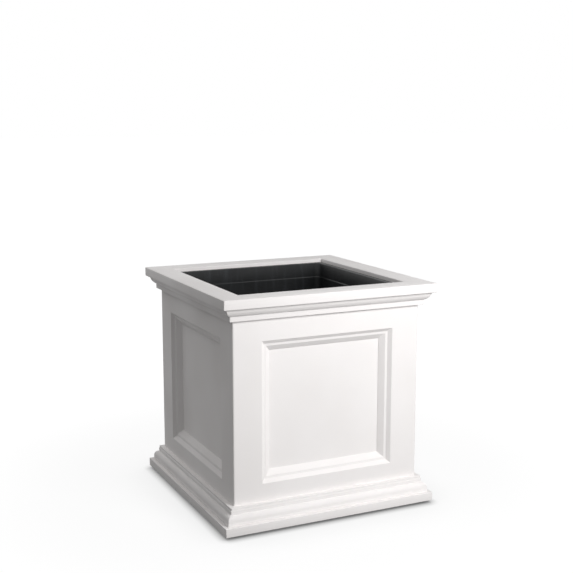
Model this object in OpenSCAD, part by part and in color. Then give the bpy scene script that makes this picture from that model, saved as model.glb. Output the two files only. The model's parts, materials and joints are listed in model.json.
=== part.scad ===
// Versailles planter: a square box of corner posts, rails and recessed panels.
// A moulded plinth and a moulded cap run round it, and a liner drops in from above.
// The origin is the middle of the footprint, on the floor. The front faces -Y.

/* [Overall] */
// Height from the floor to the top of the cap
overall_h = 508; // [430:1:620]
// Width across the corner posts
body_w = 448; // [400:1:560]
// How far the cap and the plinth stand out past the posts
overhang = 30; // [27:0.5:40]

/* [Walls] */
// Thickness of the posts and rails
wall_t = 24; // [21:0.5:30]
// Width of a post's face
post_w = 66; // [56:0.5:80]
// Radius of a post's outer edge
post_edge_r = 3.5; // [1:0.5:6]
// Height of a bottom rail
bottom_rail_h = 75; // [60:0.5:100]
// Height of a top rail
top_rail_h = 76.5; // [60:0.5:100]
// Length of a rail's tenon
tenon_len = 12; // [8:0.5:18]
// Thickness of a rail's tenon
tenon_t = 8; // [5:0.5:9]
// Shoulder above and below a tenon
tenon_shoulder = 12; // [6:0.5:20]

/* [Panels] */
// Thickness of a panel
panel_t = 5; // [4:0.5:6]
// How far a panel's edge is lapped over the frame, behind it
panel_lap = 10; // [8:0.5:14]
// Width of the moulding round a panel
panel_moulding_w = 24.5; // [20:0.5:32]
// Width of the moulding's outer bevel
outer_bevel_w = 8.5; // [5:0.5:10]
// Depth of the moulding's outer bevel
outer_bevel_d = 8; // [4:0.5:9]
// Width of the moulding's bead
bead_w = 4.5; // [2:0.5:6]
// Fall of the moulding's bead towards the panel
bead_fall = 0.8; // [0.2:0.1:1.5]
// Thickness of the moulding's inner edge
inner_edge_t = 1; // [0.5:0.1:2]

/* [Plinth] */
// Thickness of the plinth's boards
plinth_h = 18.8; // [15:0.1:26]
// Width of the ledge that the plinth's boards make inside the walls
plinth_ledge = 20; // [18:0.5:30]
// Radius of the plinth's outer edges
plinth_edge_r = 1; // [0.5:0.25:4]
// Height of the moulding on the plinth
base_moulding_h = 35.5; // [32:0.5:45]
// How far that moulding stands out
base_moulding_out = 21.5; // [17:0.5:24]
// Height of its flat band
base_band_h = 13; // [9:0.1:14]
// How far its flat band stands out
base_band_out = 11.5; // [8:0.5:13]
// Height of the upright at its foot
base_upright_h = 13; // [8:0.5:14]
// Radius of the band's edge
band_edge_r = 1.5; // [0.5:0.25:3]

/* [Cap] */
// Thickness of the cap's boards
cap_h = 20.7; // [16:0.1:28]
// Radius of the cap's outer edges
cap_edge_r = 1.5; // [0.5:0.25:4]
// Radius of the cap's inner edge
cap_inner_r = 2; // [0.5:0.25:4]
// Height of the moulding under the cap
crown_h = 28.5; // [24:0.5:40]
// How far that moulding stands out
crown_out = 22; // [17:0.5:24]
// Height of its flat band
crown_band_h = 11; // [7:0.1:13]
// How far its flat band stands out
crown_band_out = 10; // [8:0.5:12]
// Height of the upright at its top
crown_upright_h = 1; // [1:0.1:4]

/* [Floor] */
// Thickness of a floor slat
slat_t = 18; // [14:0.5:24]
// Gap between floor slats
slat_gap = 8; // [4:0.5:16]
// Gap between the floor slats and the walls
slat_side_gap = 2; // [1:0.5:5]
// Width of the bearer under the middle of the floor
bearer_w = 60; // [40:1:90]

/* [Liner] */
// How far the liner's rim lies below the cap's top
liner_drop = 8; // [4:0.5:20]
// Thickness of the liner's walls
liner_t = 3; // [2:0.25:5]
// Thickness of the liner's floor
liner_floor_t = 4; // [3:0.25:6]
// Thickness of the liner's rim
rim_t = 4; // [3:0.5:6]
// Width of the liner's rim outside its walls
rim_lip = 10; // [6:0.5:14]
// Gap between the rim and the box all round
rim_gap = 1; // [0.5:0.25:2]
// How far each wall of the liner leans in from top to bottom
liner_taper = 8; // [2:0.5:12]
// Radius of the corners of the liner's walls
liner_corner_r = 16; // [12:1:30]
// Radius of the corners of the liner's rim
rim_corner_r = 10; // [6:1:20]
// Radius of a drain hole
drain_r = 6; // [3:0.5:10]
// Distance of the outer drain holes from the middle, in X and in Y
drain_offset = 110; // [60:1:130]

/* [Feet] */
// Height of a foot
foot_h = 6; // [4:0.5:12]
// Radius of a foot
foot_r = 18; // [12:0.5:19]
// Chamfer round a foot's lower edge
foot_chamfer = 1; // [0.5:0.25:2]

/* [Fixings] */
// Radius of a dowel between wall and cap
dowel_r = 4; // [2:0.5:5]
// Depth of a dowel in the wall
dowel_in_wall = 22; // [12:1:35]
// Cap left above a dowel
dowel_cover = 8; // [5:0.5:9]
// Length of a mitre spline
spline_len = 50; // [30:1:52]
// Width of a mitre spline
spline_w = 20; // [12:1:22]
// Thickness of a mitre spline
spline_t = 4; // [2:0.5:6]
// Radius of a plinth screw's shank
plinth_screw_r = 2.5; // [1.5:0.25:3]
// Depth of a plinth screw in the wall
plinth_screw_grip = 32; // [20:1:45]
// Radius of a floor screw's shank
slat_screw_r = 2; // [1.25:0.25:2.5]
// Depth of a floor screw in the board under it
slat_screw_grip = 12; // [8:0.5:14]
// Radius of a panel screw's shank
panel_screw_r = 1.5; // [1:0.25:2]
// Depth of a panel screw in the frame
panel_screw_grip = 9; // [5:0.5:14]

/* [Hidden] */
$fn = 64;
// A cut runs this far past the face that it opens
past = 1;
// Number of floor slats, one for each of their names below
slat_count = 4;
// Clearance round a glued tenon, dowel or spline
glue_gap = 0.1;
// Clearance round a screw in its hole
screw_gap = 0.05;
// A screw's head is this many times as wide as its shank
head_ratio = 2;
// Gap between a panel's edge and its seat
panel_gap = 0.5;
// Share of a rail's or slat's length or width from its middle to a fixing
fixing_share = 0.25;
// Distance of the end floor screws from a slat's end
slat_screw_inset = 9;
// Length of a slat's own clearance from the wall at each end
slat_end_gap = 1;
// Height of the slabs that the liner's leaning walls are drawn between
slab = 0.1;

half_body = body_w / 2;
half_outer = half_body + overhang;
half_inner = half_body - wall_t;
half_open = half_body - post_w;
recess = wall_t - panel_t;

plinth_z = foot_h;
wall_z = plinth_z + plinth_h;
cap_z = overall_h - cap_h;
wall_h = cap_z - wall_z;
open_z = wall_z + bottom_rail_h;
open_h = wall_h - bottom_rail_h - top_rail_h;
top_rail_z = open_z + open_h;

plinth_in = half_inner - plinth_ledge;
plinth_w = half_outer - plinth_in;
cap_w = half_outer - half_inner;

slat_len = 2 * (half_inner - slat_end_gap);
slat_room = 2 * (half_inner - slat_side_gap);
slat_w = (slat_room - (slat_count - 1) * slat_gap) / slat_count;
floor_z = wall_z + slat_t;

rim_half = half_inner - rim_gap;
liner_half = rim_half - rim_lip;
rim_top = overall_h - liner_drop;
liner_h = rim_top - floor_z;

dowel_top = cap_z + cap_h - dowel_cover;
post_fixing = half_body - post_w / 2;
rail_fixing = 2 * half_open * fixing_share;
wall_fixings = [-post_fixing, -rail_fixing, rail_fixing, post_fixing];
wall_mid = half_body - wall_t / 2;
panel_screw_x = half_open + panel_lap / 2;
panel_screw_z = open_h / 2 + panel_lap / 2;

// Turns of the four sides from the front, in degrees
side_turns = [0, 90, 180, 270];
FRONT = side_turns[0];
RIGHT = side_turns[1];
BACK = side_turns[2];
LEFT = side_turns[3];

// ---- flat shapes ----

// What is cut from a square corner at the origin to round it off
module corner_cut(r) {
  difference() {
    translate([-past, -past])
      square(r + past);
    translate([r, r])
      circle(r);
  }
}

// A bar's section from the origin, with the radii of its four edges
module bar_section(w, h, inner_low = 0, outer_low = 0, outer_high = 0, inner_high = 0) {
  difference() {
    square([w, h]);
    if (inner_low > 0)
      corner_cut(inner_low);
    if (outer_low > 0)
      translate([w, 0])
        mirror([1, 0])
          corner_cut(outer_low);
    if (outer_high > 0)
      translate([w, h])
        rotate(180)
          corner_cut(outer_high);
    if (inner_high > 0)
      translate([0, h])
        mirror([0, 1])
          corner_cut(inner_high);
  }
}

// A moulding that lies against a wall along Y: an upright foot, a swelling
// quarter round that draws in to a flat band, and the band itself
module moulding_section(h, out, band_h, band_out, upright_h) {
  arc_h = h - band_h - upright_h;
  step = out - band_out;
  arc_r = (step * step + arc_h * arc_h) / (2 * step);
  square([out, upright_h]);
  intersection() {
    translate([out - arc_r, upright_h])
      circle(arc_r);
    translate([0, upright_h])
      square([out, arc_h]);
  }
  if (arc_r < out)
    translate([0, upright_h])
      square([out - arc_r, arc_h]);
  translate([0, h - band_h])
    bar_section(band_out, band_h, outer_high = min(band_edge_r, band_h / 2));
}

// The panel moulding: X runs in over the panel, Y runs down into the recess
module panel_moulding_section() {
  polygon([
    [0, 0],
    [outer_bevel_w, outer_bevel_d],
    [outer_bevel_w + bead_w, outer_bevel_d + bead_fall],
    [panel_moulding_w, recess - inner_edge_t],
    [panel_moulding_w, recess],
    [0, recess]
  ]);
}

// A square with round corners, centred
module round_square(half, r) {
  flat = half - r;
  square([2 * half, 2 * flat], center = true);
  square([2 * flat, 2 * half], center = true);
  for (sx = [-1, 1])
    for (sy = [-1, 1])
      translate([sx * flat, sy * flat])
        circle(r);
}

// ---- placing ----

// Turns what is drawn for the front to another side of the box
module on_side(side) {
  rotate([0, 0, side])
    children();
}

// Runs a section along the front, mitred at both corners: X of the section
// points out from the plane at the given distance, Y of the section points up
module mitred_run(distance, z) {
  intersection() {
    translate([0, -distance, z])
      rotate([90, 0, 90])
        linear_extrude(height = 2 * (half_outer + past), center = true)
          mirror([1, 0])
            children();
    translate([0, 0, z - past])
      linear_extrude(height = overall_h)
        polygon([[0, 0], [-2 * half_outer, -2 * half_outer], [2 * half_outer, -2 * half_outer]]);
  }
}

// ---- fixings, each drawn once and grown by a clearance for its hole ----

module screw(r, length, gap = 0) {
  head_r = head_ratio * r;
  translate([0, 0, -length])
    cylinder(r = r + gap, h = length);
  translate([0, 0, -head_r])
    cylinder(r1 = gap, r2 = head_r + gap, h = head_r);
}

// Upright dowels along the front, half in the wall and half in the cap
module front_dowels(gap = 0) {
  for (x = wall_fixings)
    translate([x, -wall_mid, cap_z - dowel_in_wall - gap])
      cylinder(r = dowel_r + gap, h = dowel_top - cap_z + dowel_in_wall + 2 * gap);
}

// A flat spline across the mitre at the front left corner
module corner_spline(corner, z, gap = 0) {
  translate([-corner, -corner, z])
    rotate([0, 0, 45])
      cube([spline_w + 2 * gap, spline_len + 2 * gap, spline_t + 2 * gap], center = true);
}

module cap_spline(gap = 0) {
  corner_spline((half_inner + half_outer) / 2, cap_z + cap_h / 2, gap);
}

module plinth_spline(gap = 0) {
  corner_spline((plinth_in + half_outer) / 2, plinth_z + plinth_h / 2, gap);
}

// Screws up through the front plinth board into the wall
module front_plinth_screws(gap = 0) {
  for (x = wall_fixings)
    translate([x, -wall_mid, plinth_z])
      mirror([0, 0, 1])
        screw(plinth_screw_r, plinth_h + plinth_screw_grip, gap);
}

function slat_y(i) = -slat_room / 2 + slat_w / 2 + i * (slat_w + slat_gap);

// Screws down through one slat into the plinth's ledges and the bearer
module slat_screws(i, gap = 0) {
  for (x = [slat_screw_inset - slat_len / 2, 0, slat_len / 2 - slat_screw_inset])
    for (side = [-1, 1])
      translate([x, slat_y(i) + side * slat_w * fixing_share, floor_z])
        screw(slat_screw_r, slat_t + slat_screw_grip, gap);
}

module all_slat_screws(gap = 0) {
  for (i = [0 : slat_count - 1])
    slat_screws(i, gap);
}

// Screws from behind the front panel into the posts and rails
module front_panel_screws(gap = 0) {
  translate([0, -half_inner, open_z + open_h / 2])
    for (side = [-1, 1]) {
      for (z = [-open_h * fixing_share, open_h * fixing_share])
        translate([side * panel_screw_x, 0, z])
          rotate([-90, 0, 0])
            screw(panel_screw_r, panel_t + panel_screw_grip, gap);
      for (x = [-rail_fixing, rail_fixing])
        translate([x, 0, side * panel_screw_z])
          rotate([-90, 0, 0])
            screw(panel_screw_r, panel_t + panel_screw_grip, gap);
    }
}

// ---- walls ----

// The tenon at one end of a front rail, or its mortise
module rail_tenon(z, h, side, gap = 0) {
  length = tenon_len + gap + past;
  translate([side * (half_open + tenon_len + gap - length / 2), -wall_mid, z + h / 2])
    cube([length, tenon_t + 2 * gap, h - 2 * tenon_shoulder + 2 * gap], center = true);
}

module front_tenons(gap = 0) {
  for (side = [-1, 1]) {
    rail_tenon(wall_z, bottom_rail_h, side, gap);
    rail_tenon(top_rail_z, top_rail_h, side, gap);
  }
}

// The step behind the front frame that the panel sits in
module panel_seat() {
  translate([
    -half_open - panel_lap,
    -half_inner - panel_t,
    open_z - panel_lap
  ])
    cube([2 * (half_open + panel_lap), panel_t + past, open_h + 2 * panel_lap]);
}

// What one wall's own pieces take out of the posts and rails of the front
module front_cuts() {
  panel_seat();
  front_panel_screws(screw_gap);
  front_dowels(glue_gap);
  front_plinth_screws(screw_gap);
}

// The post at the left end of a side, as seen from outside
module post(side) {
  color("white")
    on_side(side)
      difference() {
        translate([-half_body, -half_body, wall_z])
          linear_extrude(height = wall_h)
            difference() {
              square(post_w);
              translate([wall_t, wall_t])
                square(post_w);
              corner_cut(post_edge_r);
            }
        front_cuts();
        front_tenons(glue_gap);
        on_side(LEFT) {
          front_cuts();
          front_tenons(glue_gap);
        }
      }
}

module rail(side, z, h) {
  color("white")
    on_side(side)
      difference() {
        union() {
          translate([-half_open, -half_body, z])
            cube([2 * half_open, wall_t, h]);
          for (end = [-1, 1])
            rail_tenon(z, h, end);
        }
        front_cuts();
      }
}

module panel(side) {
  color("white")
    on_side(side)
      difference() {
        translate([
          -half_open - panel_lap + panel_gap,
          -half_inner - panel_t,
          open_z - panel_lap + panel_gap
        ])
          cube([
            2 * (half_open + panel_lap - panel_gap),
            panel_t,
            open_h + 2 * (panel_lap - panel_gap)
          ]);
        front_panel_screws(screw_gap);
      }
}

// One strip of the moulding round a panel: edge 0 is the bottom one, and the
// others follow clockwise as seen from outside
module panel_moulding(side, edge) {
  run = edge % 2 == 0 ? half_open : open_h / 2;
  reach = edge % 2 == 0 ? open_h / 2 : half_open;
  color("white")
    on_side(side)
      translate([0, -half_body, open_z + open_h / 2])
        rotate([0, 90 * edge, 0])
          translate([0, 0, -reach])
            intersection() {
              rotate([0, 90, 0])
                linear_extrude(height = 2 * run, center = true)
                  mirror([1, 0])
                    panel_moulding_section();
              translate([0, recess + past, 0])
                rotate([90, 0, 0])
                  linear_extrude(height = recess + 2 * past)
                    polygon([
                      [-run, 0],
                      [run, 0],
                      [run - panel_moulding_w - past, panel_moulding_w + past],
                      [-run + panel_moulding_w + past, panel_moulding_w + past]
                    ]);
            }
}

// ---- plinth and cap ----

module plinth_board(side) {
  color("white")
    on_side(side)
      difference() {
        mitred_run(plinth_in, plinth_z)
          bar_section(plinth_w, plinth_h, outer_low = plinth_edge_r, outer_high = plinth_edge_r);
        front_plinth_screws(screw_gap);
        plinth_spline(glue_gap);
        on_side(RIGHT)
          plinth_spline(glue_gap);
        rotate([0, 0, -side])
          all_slat_screws(screw_gap);
      }
}

module base_moulding(side) {
  color("white")
    on_side(side)
      mitred_run(half_body, wall_z)
        moulding_section(
          base_moulding_h, base_moulding_out, base_band_h, base_band_out, base_upright_h
        );
}

module cap_board(side) {
  color("white")
    on_side(side)
      difference() {
        mitred_run(half_inner, cap_z)
          bar_section(
            cap_w, cap_h,
            outer_low = cap_edge_r, outer_high = cap_edge_r, inner_high = cap_inner_r
          );
        front_dowels(glue_gap);
        cap_spline(glue_gap);
        on_side(RIGHT)
          cap_spline(glue_gap);
      }
}

module crown_moulding(side) {
  color("white")
    on_side(side)
      mitred_run(half_body, cap_z - crown_h)
        translate([0, crown_h])
          mirror([0, 1])
            moulding_section(crown_h, crown_out, crown_band_h, crown_band_out, crown_upright_h);
}

// ---- floor ----

module floor_slat(i) {
  color("white")
    difference() {
      translate([-slat_len / 2, slat_y(i) - slat_w / 2, wall_z])
        cube([slat_len, slat_w, slat_t]);
      slat_screws(i, screw_gap);
    }
}

module floor_bearer() {
  color("white")
    difference() {
      translate([-bearer_w / 2, -plinth_in, plinth_z])
        cube([bearer_w, 2 * plinth_in, plinth_h]);
      all_slat_screws(screw_gap);
    }
}

// ---- liner ----

// A tub with leaning walls from the height z up to the rim, open or solid
module tub(inset, z) {
  lean = liner_taper * (rim_top - z) / liner_h;
  hull() {
    translate([0, 0, z])
      linear_extrude(height = slab)
        round_square(liner_half - lean - inset, liner_corner_r - inset);
    translate([0, 0, rim_top - slab])
      linear_extrude(height = slab)
        round_square(liner_half - inset, liner_corner_r - inset);
  }
}

module liner() {
  color([0.13, 0.13, 0.14])
    difference() {
      union() {
        tub(0, floor_z);
        translate([0, 0, rim_top - rim_t])
          linear_extrude(height = rim_t)
            round_square(rim_half, rim_corner_r);
      }
      tub(liner_t, floor_z + liner_floor_t);
      translate([0, 0, rim_top - slab])
        linear_extrude(height = past)
          round_square(liner_half - liner_t, liner_corner_r - liner_t);
      translate([0, 0, floor_z - past])
        cylinder(r = drain_r, h = liner_floor_t + 2 * past);
      for (sx = [-1, 1])
        for (sy = [-1, 1])
          translate([sx * drain_offset, sy * drain_offset, floor_z - past])
            cylinder(r = drain_r, h = liner_floor_t + 2 * past);
    }
}

// ---- feet and fixings ----

module feet() {
  middle = (plinth_in + half_outer) / 2;
  color([0.2, 0.2, 0.2])
    for (sx = [-1, 1])
      for (sy = [-1, 1])
        translate([sx * middle, sy * middle, 0])
          rotate_extrude()
            polygon([
              [0, 0],
              [foot_r - foot_chamfer, 0],
              [foot_r, foot_chamfer],
              [foot_r, foot_h],
              [0, foot_h]
            ]);
}

module cap_dowels() {
  color("burlywood")
    for (side = side_turns)
      on_side(side)
        front_dowels();
}

module mitre_splines() {
  color("burlywood")
    for (side = side_turns)
      on_side(side) {
        cap_spline();
        plinth_spline();
      }
}

module plinth_screws() {
  color("silver")
    for (side = side_turns)
      on_side(side)
        front_plinth_screws();
}

module floor_screws() {
  color("silver")
    all_slat_screws();
}

module panel_screws() {
  color("silver")
    for (side = side_turns)
      on_side(side)
        front_panel_screws();
}

// ---- the pieces ----

post(FRONT);  // front_left_post
post(RIGHT);  // front_right_post
post(BACK);  // back_right_post
post(LEFT);  // back_left_post
rail(FRONT, wall_z, bottom_rail_h);  // front_bottom_rail
rail(RIGHT, wall_z, bottom_rail_h);  // right_bottom_rail
rail(BACK, wall_z, bottom_rail_h);  // back_bottom_rail
rail(LEFT, wall_z, bottom_rail_h);  // left_bottom_rail
rail(FRONT, top_rail_z, top_rail_h);  // front_top_rail
rail(RIGHT, top_rail_z, top_rail_h);  // right_top_rail
rail(BACK, top_rail_z, top_rail_h);  // back_top_rail
rail(LEFT, top_rail_z, top_rail_h);  // left_top_rail
panel(FRONT);  // front_panel
panel(RIGHT);  // right_panel
panel(BACK);  // back_panel
panel(LEFT);  // left_panel
panel_moulding(FRONT, 0);  // front_panel_moulding_bottom
panel_moulding(FRONT, 1);  // front_panel_moulding_left
panel_moulding(FRONT, 2);  // front_panel_moulding_top
panel_moulding(FRONT, 3);  // front_panel_moulding_right
panel_moulding(RIGHT, 0);  // right_panel_moulding_bottom
panel_moulding(RIGHT, 1);  // right_panel_moulding_left
panel_moulding(RIGHT, 2);  // right_panel_moulding_top
panel_moulding(RIGHT, 3);  // right_panel_moulding_right
panel_moulding(BACK, 0);  // back_panel_moulding_bottom
panel_moulding(BACK, 1);  // back_panel_moulding_left
panel_moulding(BACK, 2);  // back_panel_moulding_top
panel_moulding(BACK, 3);  // back_panel_moulding_right
panel_moulding(LEFT, 0);  // left_panel_moulding_bottom
panel_moulding(LEFT, 1);  // left_panel_moulding_left
panel_moulding(LEFT, 2);  // left_panel_moulding_top
panel_moulding(LEFT, 3);  // left_panel_moulding_right
plinth_board(FRONT);  // front_plinth_board
plinth_board(RIGHT);  // right_plinth_board
plinth_board(BACK);  // back_plinth_board
plinth_board(LEFT);  // left_plinth_board
base_moulding(FRONT);  // front_base_moulding
base_moulding(RIGHT);  // right_base_moulding
base_moulding(BACK);  // back_base_moulding
base_moulding(LEFT);  // left_base_moulding
cap_board(FRONT);  // front_cap_board
cap_board(RIGHT);  // right_cap_board
cap_board(BACK);  // back_cap_board
cap_board(LEFT);  // left_cap_board
crown_moulding(FRONT);  // front_crown_moulding
crown_moulding(RIGHT);  // right_crown_moulding
crown_moulding(BACK);  // back_crown_moulding
crown_moulding(LEFT);  // left_crown_moulding
floor_slat(0);  // floor_slat_1
floor_slat(1);  // floor_slat_2
floor_slat(2);  // floor_slat_3
floor_slat(3);  // floor_slat_4
floor_bearer();
liner();
feet();
cap_dowels();
mitre_splines();
plinth_screws();
floor_screws();
panel_screws();
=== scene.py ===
"""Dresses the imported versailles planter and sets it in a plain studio.

The box is frame and panel joinery in satin white board, with a mitred cap, crown,
base moulding and plinth, panel mouldings in each recess, screws where they show
inside and underneath, and a black tub that lifts out of it.
"""

from __future__ import annotations

import json
import logging
import math
from collections.abc import Sequence
from dataclasses import dataclass
from enum import Enum
from typing import ClassVar

import bmesh
import bpy
from mathutils import Euler, Matrix, Vector

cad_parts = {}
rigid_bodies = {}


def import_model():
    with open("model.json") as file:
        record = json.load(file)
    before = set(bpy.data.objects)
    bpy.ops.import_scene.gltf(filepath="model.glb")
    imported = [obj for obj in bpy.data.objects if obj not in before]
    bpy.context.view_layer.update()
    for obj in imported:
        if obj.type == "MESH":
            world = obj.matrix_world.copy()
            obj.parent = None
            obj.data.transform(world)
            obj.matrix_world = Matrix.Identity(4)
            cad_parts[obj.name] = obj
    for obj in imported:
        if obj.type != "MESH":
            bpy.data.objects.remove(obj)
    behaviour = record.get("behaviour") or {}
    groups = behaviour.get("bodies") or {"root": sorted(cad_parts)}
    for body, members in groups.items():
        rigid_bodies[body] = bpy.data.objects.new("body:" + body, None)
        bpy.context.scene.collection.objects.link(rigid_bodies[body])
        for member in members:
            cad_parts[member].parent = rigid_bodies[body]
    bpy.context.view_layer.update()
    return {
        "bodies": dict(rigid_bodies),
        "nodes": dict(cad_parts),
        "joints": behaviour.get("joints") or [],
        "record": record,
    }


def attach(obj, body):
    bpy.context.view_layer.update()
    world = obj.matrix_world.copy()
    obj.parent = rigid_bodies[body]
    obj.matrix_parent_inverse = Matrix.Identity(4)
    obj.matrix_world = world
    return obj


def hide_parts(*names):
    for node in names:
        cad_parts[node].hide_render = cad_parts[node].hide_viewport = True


LOG = logging.getLogger("planter")

MM = 0.001
SHARP_DEGREES = 30.0  # edges of trim and fixings that bend more than this stay crisp
MERGE_DISTANCE = 1e-6
FLAT_DISTANCE = 1e-7

NodeTree = bpy.types.NodeTree
NodeSocket = bpy.types.NodeSocket
Material = bpy.types.Material
Mesh = bpy.types.Mesh
Object = bpy.types.Object
BMesh = bmesh.types.BMesh
Inputs = dict[str | int, object]
Point = tuple[float, float]
Triple = tuple[float, float, float]
Ring = list[bmesh.types.BMVert]


class Axis(Enum):
    """The direction in which a board runs, and so does the grain pressed into it."""

    X = 0
    Y = 1
    Z = 2


class Side(Enum):
    """A side of the box, with its turn from the front in degrees."""

    FRONT = 0
    RIGHT = 90
    BACK = 180
    LEFT = 270

    @property
    def label(self) -> str:
        """The side's name as the nodes spell it."""
        return self.name.lower()

    @property
    def turn(self) -> Matrix:
        """The turn that takes what is made for the front to this side."""
        return Matrix.Rotation(math.radians(self.value), 4, "Z")

    @property
    def run(self) -> Axis:
        """The direction in which this side's level boards run."""
        return Axis.X if self in (Side.FRONT, Side.BACK) else Axis.Y


class Edge(Enum):
    """An edge of a recess, clockwise from the bottom as seen from outside."""

    BOTTOM = 0
    LEFT = 90
    TOP = 180
    RIGHT = 270

    @property
    def label(self) -> str:
        """The edge's name as the nodes spell it."""
        return self.name.lower()

    @property
    def is_level(self) -> bool:
        """Whether the edge runs level."""
        return self in (Edge.BOTTOM, Edge.TOP)


# ---- colours and nodes ----


def linear(code: str) -> tuple[float, float, float, float]:
    """Turns an sRGB hex colour to linear light.

    Args:
        code: The colour, such as "#F1EFED".

    Returns:
        Red, green, blue and alpha.
    """
    channels = [int(code[i : i + 2], 16) / 255 for i in (1, 3, 5)]
    red, green, blue = (
        c / 12.92 if c <= 0.04045 else ((c + 0.055) / 1.055) ** 2.4 for c in channels
    )
    return red, green, blue, 1.0


def add_node(
    tree: NodeTree, kind: str, inputs: Inputs | None = None, **settings: object
) -> bpy.types.Node:
    """Adds a node to a tree, sets it and joins it.

    Args:
        tree: The tree that gets the node.
        kind: Blender's name for the node's type.
        inputs: A value or another node's output for each input, by name or place.
        settings: The node's own settings.

    Returns:
        The new node.
    """
    node = tree.nodes.new(kind)
    for name, value in settings.items():
        setattr(node, name, value)
    for key, value in (inputs or {}).items():
        if isinstance(value, NodeSocket):
            tree.links.new(value, node.inputs[key])
        else:
            node.inputs[key].default_value = value
    return node


def new_material(name: str) -> tuple[Material, NodeTree]:
    """Makes a material with an empty node tree.

    Args:
        name: The material's name.

    Returns:
        The material and its tree.
    """
    material = bpy.data.materials.new(name)
    material.use_nodes = True
    material.node_tree.nodes.clear()
    return material, material.node_tree


# ---- finishes ----


def per_metre(size_mm: float) -> float:
    """Turns the size of a pattern in millimetres to its scale."""
    return 1 / (size_mm * MM)


def drawn_out(axis: Axis, width_mm: float, length_mm: float) -> list[float]:
    """Gives the scale of a pattern that is drawn out along one axis.

    Args:
        axis: The axis.
        width_mm: The pattern's size across it.
        length_mm: The pattern's size along it.

    Returns:
        The scale along each axis.
    """
    return [per_metre(length_mm if other is axis else width_mm) for other in Axis]


@dataclass(frozen=True)
class Finish:
    """What every finish has: a label, and a surface laid on the object's own place."""

    label: ClassVar[str] = ""

    @property
    def name(self) -> str:
        """The material's name: what it is and how its surface was made."""
        return self.label

    def surface(self, tree: NodeTree, place: NodeSocket) -> Inputs:
        """Lays the nodes of the surface.

        Args:
            tree: The material's tree.
            place: The place on the object, in metres.

        Returns:
            What goes into each input of the shader.
        """
        raise NotImplementedError

    def material(self) -> Material:
        """Makes the material, or finds it again.

        Returns:
            The material.
        """
        if self.name in bpy.data.materials:
            return bpy.data.materials[self.name]
        material, tree = new_material(self.name)
        place = add_node(tree, "ShaderNodeTexCoord").outputs["Object"]
        shader = add_node(tree, "ShaderNodeBsdfPrincipled", self.surface(tree, place))
        add_node(tree, "ShaderNodeOutputMaterial", {"Surface": shader.outputs["BSDF"]})
        return material


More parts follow.
